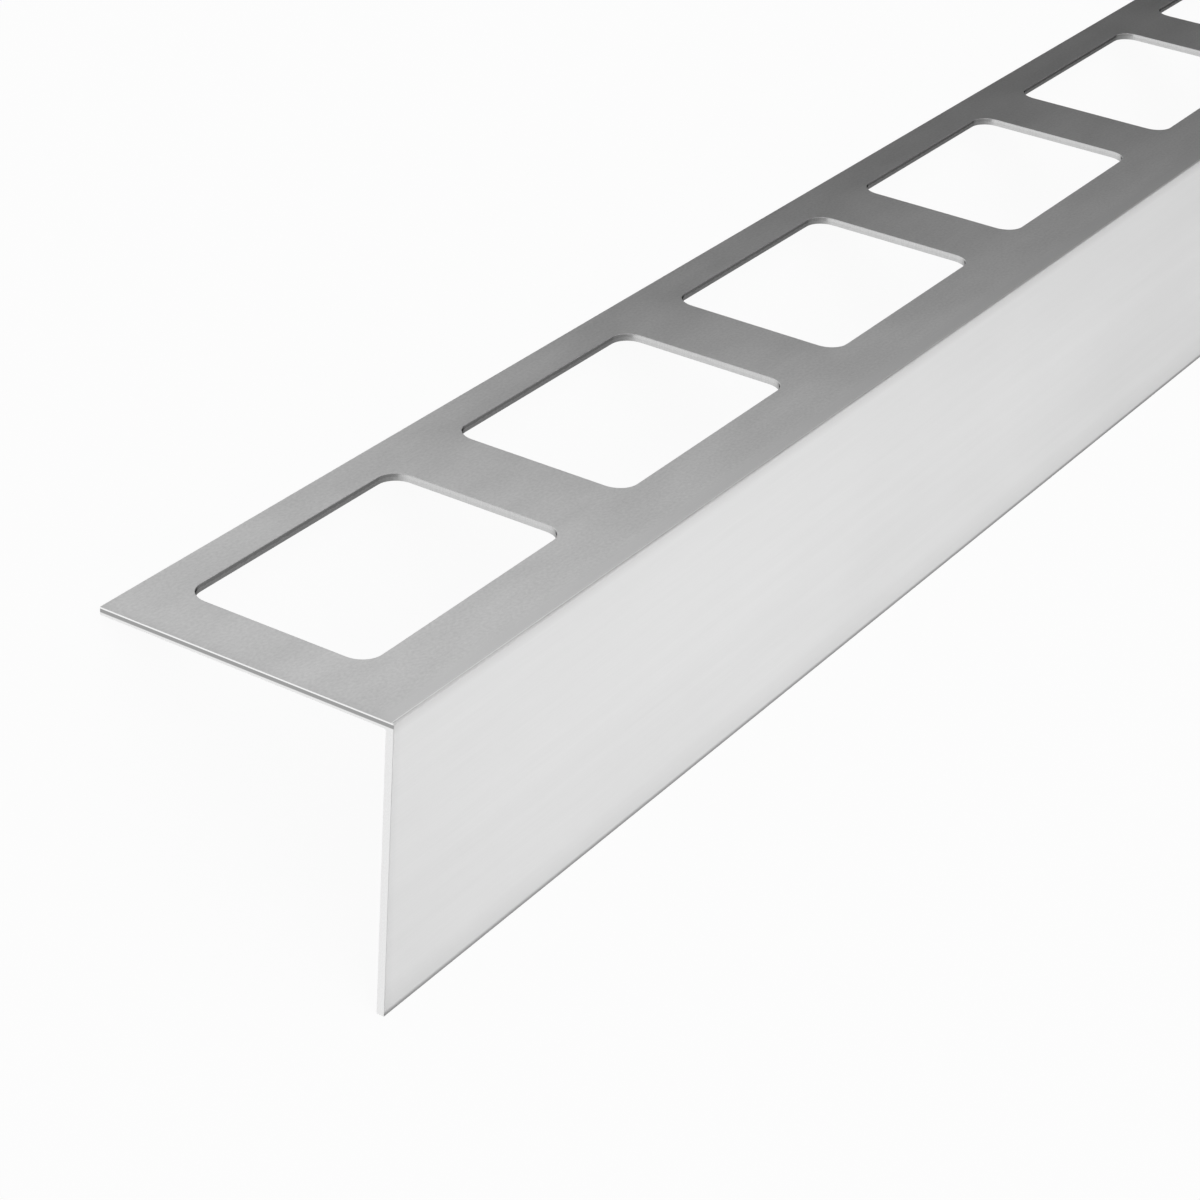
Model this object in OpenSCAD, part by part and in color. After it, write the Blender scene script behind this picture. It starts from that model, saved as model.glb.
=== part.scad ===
// Perforated edge angle for the rim of a balcony or terrace.
// One length of thin aluminium: a plain face leg and an anchoring leg with a row of windows.
// It lies as it comes to rest on a level floor: bend up, both leg tips on the floor.

/* [Stock] */
// Length of the bar along X
length = 2500; // [300:10:6000]
// Width of the anchoring leg, from the outer face to its free edge
leg_w = 58; // [54:0.5:120]
// Height of the face leg, from the top of the angle to its free edge
face_h = 55; // [25:0.5:150]
// Thickness of both legs
sheet_t = 1.5; // [1:0.1:3]

/* [Bend] */
// Radius on the outside of the bend
outer_r = 0.4; // [0.2:0.1:2]
// Radius on the inside of the bend
inner_r = 0.4; // [0.2:0.1:5]

/* [Windows] */
// Length of each window along the bar
window_l = 57; // [20:0.1:140]
// Width of each window across the anchoring leg
window_w = 36.4; // [14:0.1:40]
// Radius of the window corners
window_r = 4; // [1:0.5:6]
// Rib of metal between two windows
rib_w = 18.6; // [5:0.1:60]
// Outer face to the near side of the windows
bend_margin = 13.8; // [6:0.1:17]
// Least metal left between a bar end and its first window
end_min = 10; // [4:0.5:60]

/* [Hidden] */

metal = [0.70, 0.70, 0.70];

// Row of windows, centred on the bar
pitch = window_l + rib_w;
count = floor((length - 2 * end_min + rib_w) / pitch);
row_l = count * pitch - rib_w;

// Tools that cut the metal pass its faces by this much
over = 1;

// Resting pose: turned about X until the inner corners of both leg tips are level
tilt = atan((face_h - sheet_t) / (leg_w - sheet_t));
rest_h = leg_w * sin(tilt) + sheet_t * cos(tilt);
centre_y = (leg_w * cos(tilt) - face_h * sin(tilt)) / 2;

// Section across the bar: first axis from the outer face inwards, second axis up
module leg_section() {
    translate([0, -sheet_t])
        square([leg_w, sheet_t]);
    translate([0, -face_h])
        square([sheet_t, face_h]);
}

// Fillet that fills the inside of the bend
module inner_fillet() {
    difference() {
        translate([0, -sheet_t - inner_r])
            square([sheet_t + inner_r, sheet_t + inner_r]);
        translate([sheet_t + inner_r, -sheet_t - inner_r])
            circle(r = inner_r, $fn = 48);
    }
}

// What the round on the outside of the bend takes away
module outer_corner() {
    difference() {
        translate([-over, -outer_r])
            square([outer_r + over, outer_r + over]);
        translate([outer_r, -outer_r])
            circle(r = outer_r, $fn = 48);
    }
}

module section() {
    difference() {
        union() {
            leg_section();
            inner_fillet();
        }
        outer_corner();
    }
}

// The bar before punching, with its near end at x = 0
module bar() {
    rotate([90, 0, 90])
        linear_extrude(height = length)
            section();
}

// One window's outline, with its low corner at the origin
module window_outline() {
    translate([window_r, 0])
        square([window_l - 2 * window_r, window_w]);
    translate([0, window_r])
        square([window_l, window_w - 2 * window_r]);
    for (x = [window_r, window_l - window_r])
        for (y = [window_r, window_w - window_r])
            translate([x, y])
                circle(r = window_r, $fn = 48);
}

module windows() {
    for (i = [0 : count - 1])
        translate([(length - row_l) / 2 + i * pitch, bend_margin, -sheet_t - over])
            linear_extrude(height = sheet_t + 2 * over)
                window_outline();
}

module edge_angle() {
    color(metal)
        translate([-length / 2, -centre_y, rest_h])
            rotate([-tilt, 0, 0])
                difference() {
                    bar();
                    windows();
                }
}

edge_angle();
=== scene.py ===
"""Perforated aluminium edge angle for a balcony rim, lying bend up on a pale floor."""

import math

import bmesh
import bpy
from mathutils import Matrix, Quaternion, Vector


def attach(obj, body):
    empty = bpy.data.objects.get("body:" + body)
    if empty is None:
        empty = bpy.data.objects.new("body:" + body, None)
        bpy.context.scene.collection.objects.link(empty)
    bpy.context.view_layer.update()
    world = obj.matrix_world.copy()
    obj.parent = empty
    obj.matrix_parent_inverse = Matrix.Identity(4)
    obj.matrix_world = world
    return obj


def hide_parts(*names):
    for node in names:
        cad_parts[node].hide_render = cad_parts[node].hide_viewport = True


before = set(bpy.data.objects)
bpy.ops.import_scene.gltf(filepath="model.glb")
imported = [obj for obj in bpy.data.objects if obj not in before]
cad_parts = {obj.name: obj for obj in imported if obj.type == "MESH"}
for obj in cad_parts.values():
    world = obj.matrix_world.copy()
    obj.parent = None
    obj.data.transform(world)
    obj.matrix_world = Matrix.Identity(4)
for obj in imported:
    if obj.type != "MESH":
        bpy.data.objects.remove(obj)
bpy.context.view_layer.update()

MM = 0.001

# The bar in millimetres, the same as the solid
LENGTH = 2500.0
LEG_W = 58.0
FACE_H = 55.0
SHEET_T = 1.5
OUTER_R = 0.4
INNER_R = 0.4
WINDOW_L = 57.0
WINDOW_W = 36.4
WINDOW_R = 4.0
RIB_W = 18.6
BEND_MARGIN = 13.8
END_MIN = 10.0

# One slice of the bar holds a window and half a rib on either side of it
PITCH = WINDOW_L + RIB_W
WINDOWS = int((LENGTH - 2 * END_MIN + RIB_W) / PITCH)
SLICES_L = WINDOWS * PITCH

# Turned about X until both leg tips stand on the floor
TILT = math.atan((FACE_H - SHEET_T) / (LEG_W - SHEET_T))
REST_H = LEG_W * math.sin(TILT) + SHEET_T * math.cos(TILT)
CENTRE_Y = (LEG_W * math.cos(TILT) - FACE_H * math.sin(TILT)) / 2

# Cut edges that turn by more than this are broken, which the solid leaves out
SHARP = math.radians(50)
EDGE_BREAK = 0.13

# Steps in the broken edges, in the bend and in a window's corners
BREAK_STEPS = 2
BEND_STEPS = 6
CORNER_STEPS = 9

# Points closer than this are the same point
CLOSE = 0.001

# A face looks along an axis if its normal goes this far along it
FACING = 0.9

# Material slots of the two cut finishes; the rolled skin is slot 0
PUNCHED = 1
SAWN = 2

# At this weight the Weighted Normal modifier lets the largest faces decide
FULL_WEIGHT = 100


# The bar, modelled upright with its top at z = 0 and its outer face at y = 0


def corner_near(bm, y, z):
    """The vertex of the section closest to a point across the bar."""
    return min(bm.verts, key=lambda v: math.hypot(v.co.y - y, v.co.z - z))


def round_corners(bm, corners, radius, steps):
    """Rounds corners of a flat outline."""
    bmesh.ops.bevel(
        bm,
        geom=corners,
        offset=radius,
        offset_type="OFFSET",
        affect="VERTICES",
        segments=steps,
        profile=0.5,
        material=-1,
    )


def draw_out(bm, faces, step):
    """Extrudes faces by a step, and leaves the old ones where they were."""
    grown = bmesh.ops.extrude_face_region(bm, geom=faces)["geom"]
    moved = [g for g in grown if isinstance(g, bmesh.types.BMVert)]
    bmesh.ops.translate(bm, verts=moved, vec=step)


def open_up(bm, lids):
    """Deletes faces and keeps their edges."""
    bmesh.ops.delete(bm, geom=lids, context="FACES_ONLY")


def section_slice(bm):
    """One window's length of the bar as a hollow tube of faces, open at both ends."""
    outline = [
        (0, 0),
        (0, -FACE_H),
        (SHEET_T, -FACE_H),
        (SHEET_T, -SHEET_T),
        (LEG_W, -SHEET_T),
        (LEG_W, 0),
    ]
    bm.faces.new([bm.verts.new((0, y, z)) for y, z in outline])
    round_corners(bm, [corner_near(bm, 0, 0)], OUTER_R, BEND_STEPS)
    round_corners(bm, [corner_near(bm, SHEET_T, -SHEET_T)], INNER_R, BEND_STEPS)
    draw_out(bm, bm.faces[:], (PITCH, 0, 0))
    open_up(bm, [f for f in bm.faces if abs(f.normal.x) > FACING])


def window_lids(bm):
    """The faces that close a window, which have more corners than its walls."""
    return [f for f in bm.faces if len(f.verts) > 4 * CORNER_STEPS]


def window_plug(bm):
    """The round-cornered outline of a window, and its wall through the sheet."""
    made = bmesh.ops.create_grid(bm, x_segments=1, y_segments=1, size=0.5)["verts"]
    bmesh.ops.scale(bm, verts=made, vec=(WINDOW_L, WINDOW_W, 1))
    middle = (PITCH / 2, BEND_MARGIN + WINDOW_W / 2, 0)
    bmesh.ops.translate(bm, verts=made, vec=middle)
    round_corners(bm, made, WINDOW_R, CORNER_STEPS)
    draw_out(bm, window_lids(bm), (0, 0, -SHEET_T))
    open_up(bm, window_lids(bm))
    for wall in bm.faces:
        wall.material_index = PUNCHED


def leg_skin(bm, level):
    """Fills the anchoring leg around its window, on one side of the sheet."""

    def on_level(part):
        return all(abs(v.co.z - level) < CLOSE for v in part.verts)

    open_up(bm, [f for f in bm.faces if on_level(f)])
    rim = [e for e in bm.edges if len(e.link_faces) < 2 and on_level(e)]
    bmesh.ops.triangle_fill(bm, edges=rim, use_beauty=True, normal=(0, 0, 1))


def bar_slice():
    """One window and the metal around it."""
    bm = bmesh.new()
    window_plug(bm)
    plug = bpy.data.meshes.new("plug")
    bm.to_mesh(plug)
    bm.free()
    bm = bmesh.new()
    section_slice(bm)
    bm.from_mesh(plug)
    bpy.data.meshes.remove(plug)
    leg_skin(bm, 0.0)
    leg_skin(bm, -SHEET_T)
    return bm


def repeat_slice(bm):
    """Copies the slice along the bar and welds the copies together."""
    first = bm.verts[:] + bm.edges[:] + bm.faces[:]
    for i in range(1, WINDOWS):
        copy = bmesh.ops.duplicate(bm, geom=first)["geom"]
        moved = [g for g in copy if isinstance(g, bmesh.types.BMVert)]
        bmesh.ops.translate(bm, verts=moved, vec=(i * PITCH, 0, 0))
    bmesh.ops.remove_doubles(bm, verts=bm.verts[:], dist=CLOSE)


def finish_ends(bm):
    """Draws both ends out to the bar's full length and closes them."""
    extra = (LENGTH - SLICES_L) / 2
    for x, step in ((0.0, -extra), (SLICES_L, extra)):
        end = [v for v in bm.verts if abs(v.co.x - x) < CLOSE]
        bmesh.ops.translate(bm, verts=end, vec=(step, 0, 0))
    open_edges = [e for e in bm.edges if e.is_boundary]
    near = [e for e in open_edges if e.verts[0].co.x < 0]
    far = [e for e in open_edges if e.verts[0].co.x > 0]
    for rim in (near, far):
        for lid in bmesh.ops.contextual_create(bm, geom=rim)["faces"]:
            lid.material_index = SAWN


def mark_tips(bm):
    """The free edges of both legs have the sawn finish."""
    for face in bm.faces:
        middle = face.calc_center_median()
        if face.normal.y > FACING and abs(middle.y - LEG_W) < CLOSE:
            face.material_index = SAWN
        if face.normal.z < -FACING and abs(middle.z + FACE_H) < CLOSE:
            face.material_index = SAWN


def break_edges(bm):
    """Takes the sharpness off every cut edge."""
    bmesh.ops.bevel(
        bm,
        geom=[e for e in bm.edges if e.calc_face_angle(0) > SHARP],
        offset=EDGE_BREAK,
        offset_type="OFFSET",
        affect="EDGES",
        segments=BREAK_STEPS,
        profile=0.5,
        material=-1,
    )


def lay_down(bm):
    """Turns the bar to lie on its two leg tips, centred, in metres."""
    to_middle = Matrix.Translation((-SLICES_L / 2, 0, 0))
    turn = Matrix.Rotation(-TILT, 4, "X")
    lift = Matrix.Translation((0, -CENTRE_Y, REST_H))
    place = Matrix.Scale(MM, 4) @ lift @ turn @ to_middle
    bmesh.ops.transform(bm, matrix=place, verts=bm.verts[:])


def edge_angle():
    """The whole bar as one closed mesh."""
    bm = bar_slice()
    repeat_slice(bm)
    finish_ends(bm)
    bmesh.ops.recalc_face_normals(bm, faces=bm.faces[:])
    mark_tips(bm)
    break_edges(bm)
    lay_down(bm)
    for face in bm.faces:
        face.smooth = True
    mesh = bpy.data.meshes.new("edge_angle_metal")
    bm.to_mesh(mesh)
    bm.free()
    piece = bpy.data.objects.new("edge_angle_metal", mesh)
    bpy.context.scene.collection.objects.link(piece)
    flat = piece.modifiers.new("Flat faces", "WEIGHTED_NORMAL")
    flat.mode = "FACE_AREA"
    flat.weight = FULL_WEIGHT
    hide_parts("edge_angle")
    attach(piece, "root")
    return piece


# Nodes that the materials are made of

# Noise keeps mostly between these two values
NOISE_LOW = 0.3
NOISE_HIGH = 0.7


def add(tree, kind, **settings):
    """A node with some of its own settings changed."""
    made = tree.nodes.new(kind)
    for name, value in settings.items():
        setattr(made, name, value)
    return made


def empty_material(name):
    """A material with only a Principled shader, and its node tree."""
    material = bpy.data.materials.new(name)
    material.use_nodes = True
    tree = material.node_tree
    tree.nodes.clear()
    out = add(tree, "ShaderNodeOutputMaterial")
    shader = add(tree, "ShaderNodeBsdfPrincipled")
    tree.links.new(shader.outputs["BSDF"], out.inputs["Surface"])
    return material, tree, shader


def empty_metal(name, grazing_tint=1.0):
    """A metal whose reflection takes on a tint at grazing angles."""
    material, tree, shader = empty_material(name)
    shader.inputs["Metallic"].default_value = 1.0
    shader.inputs["Specular Tint"].default_value = (grazing_tint,) * 3 + (1,)
    return material, tree, shader


def upright(tree):
    """Object coordinates turned back to the upright bar, in millimetres."""
    stand = Matrix.Rotation(TILT, 3, "X")
    place = add(tree, "ShaderNodeMapping")
    place.inputs["Rotation"].default_value = (TILT, 0, 0)
    place.inputs["Location"].default_value = stand @ Vector((0, CENTRE_Y, -REST_H))
    place.inputs["Scale"].default_value = (1 / MM,) * 3
    seen = add(tree, "ShaderNodeTexCoord")
    tree.links.new(seen.outputs["Object"], place.inputs["Vector"])
    return place.outputs["Vector"]


def along_across_up(tree, place):
    """The three millimetre coordinates on their own."""
    split = add(tree, "ShaderNodeSeparateXYZ")
    tree.links.new(place, split.inputs["Vector"])
    return split.outputs["X"], split.outputs["Y"], split.outputs["Z"]


def marks(tree, place, per_mm, detail=2.0):
    """Noise with so many marks to the millimetre along, across and up."""
    scaled = add(tree, "ShaderNodeVectorMath", operation="MULTIPLY")
    scaled.inputs[1].default_value = per_mm
    tree.links.new(place, scaled.inputs[0])
    noise = add(tree, "ShaderNodeTexNoise")
    noise.inputs["Scale"].default_value = 1.0
    noise.inputs["Detail"].default_value = detail
    tree.links.new(scaled.outputs["Vector"], noise.inputs["Vector"])
    return noise.outputs["Fac"]


def math_node(tree, operation, *values):
    """One operation on values and plain numbers."""
    node = add(tree, "ShaderNodeMath", operation=operation)
    for socket, value in zip(node.inputs, values):
        if isinstance(value, (int, float)):
            socket.default_value = value
        else:
            tree.links.new(value, socket)
    return node.outputs[0]


def times(tree, first, *others):
    """The product of values and plain numbers."""
    for other in others:
        first = math_node(tree, "MULTIPLY", first, other)
    return first


def plus(tree, first, *others):
    """The sum of values and plain numbers."""
    for other in others:
        first = math_node(tree, "ADD", first, other)
    return first


def ramp(tree, value, start, end, first, last, kind="SMOOTHSTEP"):
    """Goes from one level to another while a value goes from start to end."""
    made = add(tree, "ShaderNodeMapRange", interpolation_type=kind)
    made.inputs["From Min"].default_value = start
    made.inputs["From Max"].default_value = end
    made.inputs["To Min"].default_value = first
    made.inputs["To Max"].default_value = last
    tree.links.new(value, made.inputs["Value"])
    return made.outputs["Result"]


def swing(tree, noise, first, last, kind="SMOOTHSTEP"):
    """Goes from one level to another with a noise."""
    return ramp(tree, noise, NOISE_LOW, NOISE_HIGH, first, last, kind)


def sway(tree, noise, amount):
    """A factor around 1 that follows a noise."""
    return swing(tree, noise, 1 - amount, 1 + amount, "LINEAR")


def set_grey(tree, shader, value):
    """Gives the shader a grey that comes from a value."""
    colour = add(tree, "ShaderNodeCombineColor")
    for channel in ("Red", "Green", "Blue"):
        tree.links.new(value, colour.inputs[channel])
    tree.links.new(colour.outputs["Color"], shader.inputs["Base Color"])


def raise_surface(tree, shader, *layers):
    """Bump in layers, each a height and the metres that a height of 1 stands for."""
    normal = None
    for height, distance in layers:
        bump = add(tree, "ShaderNodeBump")
        bump.inputs["Strength"].default_value = 1.0
        bump.inputs["Distance"].default_value = distance
        tree.links.new(height, bump.inputs["Height"])
        if normal:
            tree.links.new(normal, bump.inputs["Normal"])
        normal = bump.outputs["Normal"]
    tree.links.new(normal, shader.inputs["Normal"])


# Rolled skin of the sheet

METAL_GREY = 0.70
ROUGH = 0.315

# The metal darkens at grazing angles, where the pale floor would wash it out
GRAZING_TINT = 0.16

# Marks to the millimetre along the bar, across it and up
GRAIN = (0.05, 3.2, 3.2)
ROLL_LINES = (0.003, 0.35, 0.35)
CLOUDS = (0.018, 0.03, 0.03)
SPECKLE = (1.3, 1.9, 1.9)
MOTTLE = (0.05, 0.13, 0.13)
SPECKLE_DETAIL = 3.0

# How much each of them changes the tone
GRAIN_TONE = 0.015
ROLL_LINES_TONE = 0.01
CLOUDS_TONE = 0.012
SPECKLE_TONE = 0.06
MOTTLE_TONE = 0.03

# Speckle and mottle are on the anchoring leg: from here, and in full from there
MOTTLED_FROM = 1.5
MOTTLED_BY = 4.5

# How much they change the roughness, and the height of the grain in metres
GRAIN_ROUGH = 0.06
CLOUDS_ROUGH = 0.04
GRAIN_H = 0.000004

# How far thin sheet bows between its edges
LEG_BOW = 1.0
FACE_BOW = 0.25

# Depth within the sheet over which the bow changes sides
SIDES_MEET = 0.01

# Painted shade: the face is duller just below the bend, over this depth, as a rounder
# bend would shade it
BEND_SHADE_H = 2.4
BEND_SHADE_TONE = 0.88

# The face is a little darker towards the bend, from one depth up to another
DIMMED_FROM = 24.0
DIMMED_TO = 4.0
DIMMED_TONE = 0.96

# A painted highlight along the upper part of the bend's round
BEND_HIGHLIGHT_AT = 0.3
BEND_HIGHLIGHT_HALF_W = 0.2
BEND_HIGHLIGHT_FADE = 0.1
BEND_HIGHLIGHT_TONE = 1.4

# The metal is darker towards its lower edge, which is painted shade, and towards its cut
# ends
LOW_SHADE_H = 6.0
LOW_SHADE_TONE = 0.90
DARK_END_W = 2.5
DARK_END_TONE = 0.955

# A painted dark line of shade along the free edge of the face leg
SHADE_LINE_FROM = 0.25
SHADE_LINE_TO = 1.2
SHADE_LINE_TONE = 0.5

# Painted shade on the broken edge above a window's back wall, nearly as dark as that wall
RIM_SHADE_W = 1.0
RIM_SHADE_FADE = 1.0
RIM_SHADE_TONE = 0.45


def bowed_sheet(tree, across, up):
    """Millimetres by which each leg stands proud of flat, on either side."""
    from_mid_leg = math_node(tree, "MULTIPLY_ADD", across, 2 / LEG_W, -1.0)
    from_mid_face = math_node(tree, "MULTIPLY_ADD", up, 2 / FACE_H, 1.0)
    leg = times(tree, from_mid_leg, from_mid_leg, LEG_BOW)
    face = times(tree, from_mid_face, from_mid_face, FACE_BOW)
    outside = math_node(tree, "MAXIMUM", up, times(tree, across, -1.0))
    mid_sheet = -SHEET_T / 2
    side = ramp(tree, outside, mid_sheet - SIDES_MEET, mid_sheet, -1.0, 1.0, "LINEAR")
    return times(tree, plus(tree, leg, face), side)


def bend_highlight_and_shade(tree, across, up):
    """Painted highlight on the bend's round and painted shade on the face below it, with
    a dimmer band further down.
    """
    # Painted shade on the face just below the bend
    skin = ramp(tree, up, -BEND_SHADE_H, -OUTER_R, 1.0, BEND_SHADE_TONE, "LINEAR")
    # The face darkens a little towards the bend
    dimmed = ramp(tree, up, -DIMMED_FROM, -DIMMED_TO, 1.0, DIMMED_TONE, "LINEAR")
    # Painted highlight along the upper part of the bend's round
    off_line = math_node(tree, "ABSOLUTE", plus(tree, across, -BEND_HIGHLIGHT_AT))
    faded = BEND_HIGHLIGHT_HALF_W + BEND_HIGHLIGHT_FADE
    bend_highlight = ramp(tree, off_line, BEND_HIGHLIGHT_HALF_W, faded, BEND_HIGHLIGHT_TONE, 1.0)
    off_face = ramp(tree, across, 0.0, OUTER_R / 2, 0.0, 1.0)
    on_face = times(tree, skin, dimmed)
    return times(tree, bend_highlight, math_node(tree, "MAXIMUM", on_face, off_face))


def leg_tone(tree, place, across, speckle):
    """Speckled and cloudy tone of the anchoring leg; the face leg is clean."""
    fine = swing(tree, speckle, -SPECKLE_TONE, SPECKLE_TONE, "LINEAR")
    broad = swing(tree, marks(tree, place, MOTTLE), -MOTTLE_TONE, MOTTLE_TONE)
    on_leg = ramp(tree, across, MOTTLED_FROM, MOTTLED_BY, 0.0, 1.0)
    return plus(tree, times(tree, plus(tree, fine, broad), on_leg), 1.0)


def edge_shade_and_end_tone(tree, along, up):
    """Painted shade along the lower edge of the face, and a darker tone towards the cut
    ends of the bar.
    """
    # Painted dark line of shade along the lower edge
    shade_line = ramp(tree, up, SHADE_LINE_FROM - FACE_H, SHADE_LINE_TO - FACE_H, SHADE_LINE_TONE, 1.0)
    low_to = LOW_SHADE_H - FACE_H
    # Painted shade towards the lower edge of the face
    low = ramp(tree, up, -FACE_H, low_to, LOW_SHADE_TONE, 1.0, "LINEAR")
    from_middle = math_node(tree, "ABSOLUTE", along)
    end = LENGTH / 2
    # Darker towards the cut ends
    ends = ramp(tree, from_middle, end - DARK_END_W, end, 1.0, DARK_END_TONE)
    return times(tree, shade_line, low, ends)


def rim_shade(tree, across, up):
    """Painted shade on the broken edge along the back of the windows."""
    back = BEND_MARGIN + WINDOW_W
    off_wall = math_node(tree, "ABSOLUTE", plus(tree, across, -back))
    near = ramp(tree, off_wall, RIM_SHADE_W, RIM_SHADE_W + RIM_SHADE_FADE, 1.0, 0.0)
    # Painted shade on the broken edge above the back wall
    broken = ramp(tree, up, -EDGE_BREAK / 2, 0.0, 1 - RIM_SHADE_TONE, 0.0, "LINEAR")
    return math_node(tree, "SUBTRACT", 1.0, times(tree, near, broken))


def rolled_metal():
    """Mill finish: matt, with a fine grain along the bar."""
    material, tree, shader = empty_metal("rolled aluminium", GRAZING_TINT)
    place = upright(tree)
    along, across, up = along_across_up(tree, place)
    grain = marks(tree, place, GRAIN)
    clouds = marks(tree, place, CLOUDS)
    speckle = marks(tree, place, SPECKLE, SPECKLE_DETAIL)
    grey = times(
        tree,
        sway(tree, grain, GRAIN_TONE),
        sway(tree, marks(tree, place, ROLL_LINES), ROLL_LINES_TONE),
        sway(tree, clouds, CLOUDS_TONE),
        leg_tone(tree, place, across, speckle),
        bend_highlight_and_shade(tree, across, up),
        edge_shade_and_end_tone(tree, along, up),
        rim_shade(tree, across, up),
        METAL_GREY,
    )
    set_grey(tree, shader, grey)
    uneven = times(tree, sway(tree, grain, GRAIN_ROUGH), sway(tree, clouds, CLOUDS_ROUGH))
    tree.links.new(times(tree, uneven, ROUGH), shader.inputs["Roughness"])
    relief = plus(tree, grain, speckle)
    bow = bowed_sheet(tree, across, up)
    raise_surface(tree, shader, (bow, MM), (relief, GRAIN_H))
    return material


# Walls of the punched windows

# Tint at grazing angles
WALL_TINT = 0.05

# Depth at which the burnished band has given way to the torn one, and their fade
TORN_FROM = 0.72
TORN_FADE = 0.10

# The bands meet along a wavy line: how much it wanders, and marks to the millimetre
WAVE_H = 0.12
WAVE = (0.6, 0.6, 0.0)

# Marks that the punch drags down the wall and the tears below, to the millimetre,
# the tone of the first and the height of both in metres
DRAG = (7.0, 7.0, 0.5)
TEAR = (5.0, 5.0, 5.0)
DRAG_TONE = 0.05
WALL_H = 0.000012

# Grey of the two bands on the cross walls and on the back wall, whose darker greys are
# painted shade
BURNISHED_CROSS = 0.64
TORN_CROSS = 0.66
BURNISHED_BACK_SHADED = 0.27
TORN_BACK_SHADED = 0.35

BURNISHED_ROUGH = 0.26
TORN_ROUGH = 0.46


def back_wall(tree, across):
    """1 on the wall at the back of a window, 0 on its other walls."""
    back = BEND_MARGIN + WINDOW_W
    return ramp(tree, across, back - WINDOW_R, back, 0.0, 1.0, "LINEAR")


def punched_metal():
    """Wall of a punched window: a burnished band above a torn, duller one, with painted
    shade on the back wall.
    """
    material, tree, shader = empty_metal("punched aluminium", WALL_TINT)
    place = upright(tree)
    across, up = along_across_up(tree, place)[1:]
    wave = swing(tree, marks(tree, place, WAVE), -WAVE_H, WAVE_H)
    depth = plus(tree, up, wave)
    torn = ramp(tree, depth, -TORN_FROM, TORN_FADE - TORN_FROM, 1.0, 0.0)
    burnished = math_node(tree, "SUBTRACT", 1.0, torn)
    drag = marks(tree, place, DRAG)
    tear = marks(tree, place, TEAR)
    back = back_wall(tree, across)
    # The back wall takes darker greys, which are painted shade
    upper = ramp(tree, back, 0, 1, BURNISHED_CROSS, BURNISHED_BACK_SHADED)
    lower = ramp(tree, back, 0, 1, TORN_CROSS, TORN_BACK_SHADED)
    bands = plus(tree, times(tree, lower, torn), times(tree, upper, burnished))
    set_grey(tree, shader, times(tree, bands, sway(tree, drag, DRAG_TONE)))
    rough = ramp(tree, torn, 0, 1, BURNISHED_ROUGH, TORN_ROUGH)
    tree.links.new(rough, shader.inputs["Roughness"])
    relief = plus(tree, drag, times(tree, torn, tear))
    raise_surface(tree, shader, (relief, WALL_H))
    return material


# Sawn ends and sheared leg tips

SAWN_GREY = 0.88

# The saw's fine lines: marks to the millimetre, change of tone, height in metres
CUTTER = (2.0, 9.0, 2.5)
CUTTER_TONE = 0.05
CUTTER_H = 0.00001
SMOOTH_ROUGH = 0.32
COARSE_ROUGH = 0.44

# A painted highlight along the top of a cut, down to a depth over which it fades
TOP_HIGHLIGHT_TO = 0.36
TOP_HIGHLIGHT_FADE = 0.12
TOP_HIGHLIGHT_TONE = 1.13

# Below it a painted dark band of shade, down to a depth over which it fades
DARK_BAND_TO = 1.1
DARK_BAND_FADE = 0.25
DARK_BAND_TONE = 0.43


def sawn_metal():
    """Cut ends and sheared edges: fine cutter lines, a painted highlight along the top
    and a painted dark band of shade below it.
    """
    material, tree, shader = empty_metal("sawn aluminium")
    place = upright(tree)
    up = along_across_up(tree, place)[2]
    below_highlight = ramp(tree, up, -TOP_HIGHLIGHT_TO, TOP_HIGHLIGHT_FADE - TOP_HIGHLIGHT_TO, 1.0, 0.0)
    above_foot = ramp(tree, up, -DARK_BAND_TO, DARK_BAND_FADE - DARK_BAND_TO, 0.0, 1.0)
    in_band = times(tree, below_highlight, above_foot)
    cutter = marks(tree, place, CUTTER)
    grey = times(
        tree,
        # Painted highlight along the top of a cut, then a painted dark band of shade
        ramp(tree, below_highlight, 0, 1, TOP_HIGHLIGHT_TONE, 1.0),
        ramp(tree, in_band, 0, 1, 1.0, DARK_BAND_TONE),
        sway(tree, cutter, CUTTER_TONE),
        SAWN_GREY,
    )
    set_grey(tree, shader, grey)
    rough = swing(tree, cutter, SMOOTH_ROUGH, COARSE_ROUGH)
    tree.links.new(rough, shader.inputs["Roughness"])
    raise_surface(tree, shader, (cutter, CUTTER_H))
    return material


# Floor: half its width in metres, and the grey of its paint

FLOOR_HALF_W = 60
FLOOR_GREY = 0.88

# Share of white glow that the floor shows to the eye, in metal and through glass;
# the rest is its paint, which takes the shadow
GLOW_SHARE = 0.93


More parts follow.
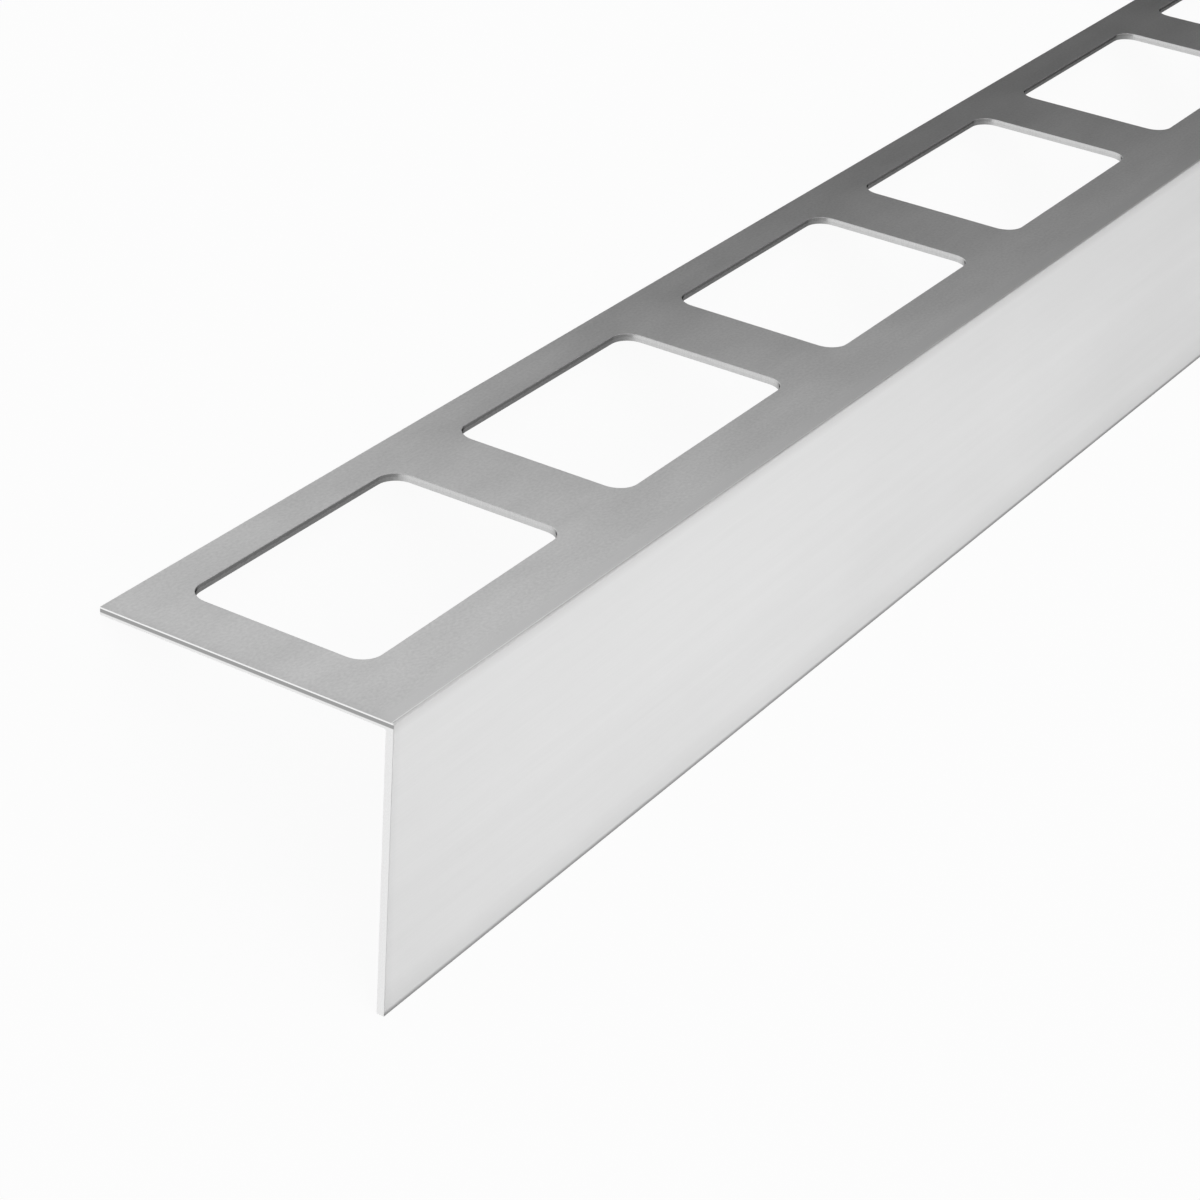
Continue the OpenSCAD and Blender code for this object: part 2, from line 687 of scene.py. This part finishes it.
def floor_material():
    """White to the eye and in the metal, with a faint shadow."""
    material, tree, shader = empty_material("pale floor")
    link = tree.links.new
    surface = shader.outputs["BSDF"].links[0].to_socket
    tree.nodes.remove(shader)
    paint = add(tree, "ShaderNodeBsdfDiffuse")
    paint.inputs["Color"].default_value = (FLOOR_GREY,) * 3 + (1,)
    glow = add(tree, "ShaderNodeEmission")
    path = add(tree, "ShaderNodeLightPath")
    eye_or_metal = add(tree, "ShaderNodeMath", operation="ADD", use_clamp=True)
    link(path.outputs["Is Camera Ray"], eye_or_metal.inputs[0])
    link(path.outputs["Is Glossy Ray"], eye_or_metal.inputs[1])
    seen = add(tree, "ShaderNodeMath", operation="ADD", use_clamp=True)
    link(eye_or_metal.outputs[0], seen.inputs[0])
    link(path.outputs["Is Transmission Ray"], seen.inputs[1])
    mix = add(tree, "ShaderNodeMixShader")
    link(times(tree, seen.outputs[0], GLOW_SHARE), mix.inputs["Fac"])
    link(paint.outputs["BSDF"], mix.inputs[1])
    link(glow.outputs["Emission"], mix.inputs[2])
    link(mix.outputs["Shader"], surface)
    return material


def floor():
    """A level floor that reaches past the view."""
    bm = bmesh.new()
    bmesh.ops.create_grid(bm, x_segments=1, y_segments=1, size=FLOOR_HALF_W)
    mesh = bpy.data.meshes.new("floor")
    bm.to_mesh(mesh)
    bm.free()
    piece = bpy.data.objects.new("floor", mesh)
    bpy.context.scene.collection.objects.link(piece)
    mesh.materials.append(floor_material())


# Light


def towards(turn, height):
    """A direction: degrees from +X towards +Y, and degrees above the floor."""
    turn = math.radians(turn)
    height = math.radians(height)
    level = math.cos(height)
    return Vector((math.cos(turn) * level, math.sin(turn) * level, math.sin(height)))


# Level of the even room, which each patch multiplies by its own
ROOM_LEVEL = 0.84

# The light that the face leg mirrors, a light and the dark side that the
# anchoring leg mirrors, and a soft ceiling
PATCHES = (
    dict(aim=towards(-36.2, 1), core=13, fade=24, flat=1.8, level=4.65),
    dict(aim=towards(38, 5.5), core=4, fade=14, flat=2.0, level=3.2),
    dict(aim=towards(30.2, 13.5), core=14.5, fade=20, flat=1.15, level=0.0),
    dict(aim=towards(0, 90), core=25, fade=45, flat=1.0, level=1.4),
)


def soft_patch(tree, direction, aim, core, fade, flat, level):
    """A patch of the studio, so many times flatter than wide.

    It has its level up to core degrees from its aim, and is 1 from fade degrees on.
    """
    squash = Vector((1, 1, flat))
    pressed = add(tree, "ShaderNodeVectorMath", operation="MULTIPLY")
    pressed.inputs[1].default_value = squash
    tree.links.new(direction, pressed.inputs[0])
    unit = add(tree, "ShaderNodeVectorMath", operation="NORMALIZE")
    tree.links.new(pressed.outputs["Vector"], unit.inputs[0])
    dot = add(tree, "ShaderNodeVectorMath", operation="DOT_PRODUCT")
    dot.inputs[1].default_value = (aim * squash).normalized()
    tree.links.new(unit.outputs["Vector"], dot.inputs[0])
    outside = math.cos(math.radians(fade))
    inside = math.cos(math.radians(core))
    return ramp(tree, dot.outputs["Value"], outside, inside, 1.0, level)


def studio():
    """Even pale room with soft light patches and one dark side."""
    world = bpy.data.worlds.new("studio")
    bpy.context.scene.world = world
    world.use_nodes = True
    tree = world.node_tree
    tree.nodes.clear()
    out = add(tree, "ShaderNodeOutputWorld")
    back = add(tree, "ShaderNodeBackground")
    direction = add(tree, "ShaderNodeTexCoord").outputs["Generated"]
    patches = [soft_patch(tree, direction, **patch) for patch in PATCHES]
    level = times(tree, *patches, ROOM_LEVEL)
    tree.links.new(level, back.inputs["Strength"])
    tree.links.new(back.outputs["Background"], out.inputs["Surface"])


# Camera: its place and reach in metres, where it looks, its roll in degrees, and
# its lens and sensor in millimetres

CAMERA_AT = Vector((-1.60335, 0.00008, 0.40122))
CAMERA_LOOK = Vector((0.75005, -0.00903, -0.66132))
CAMERA_ROLL = 55.79
LENS = 99.24
SENSOR_W = 36.0
NEAREST = 0.01
FARTHEST = 200


def camera():
    """The photograph's view, turned with the bar as it lies."""
    data = bpy.data.cameras.new("camera")
    data.lens = LENS
    data.sensor_width = SENSOR_W
    data.clip_start = NEAREST
    data.clip_end = FARTHEST
    piece = bpy.data.objects.new("camera", data)
    piece.location = CAMERA_AT
    piece.rotation_mode = "QUATERNION"
    roll = Quaternion((0, 0, 1), math.radians(CAMERA_ROLL))
    piece.rotation_quaternion = CAMERA_LOOK.to_track_quat("-Z", "Y") @ roll
    bpy.context.scene.collection.objects.link(piece)
    bpy.context.scene.camera = piece


bar = edge_angle()
for finish in (rolled_metal(), punched_metal(), sawn_metal()):
    bar.data.materials.append(finish)
floor()
studio()
camera()
bpy.context.scene.view_settings.view_transform = "Standard"
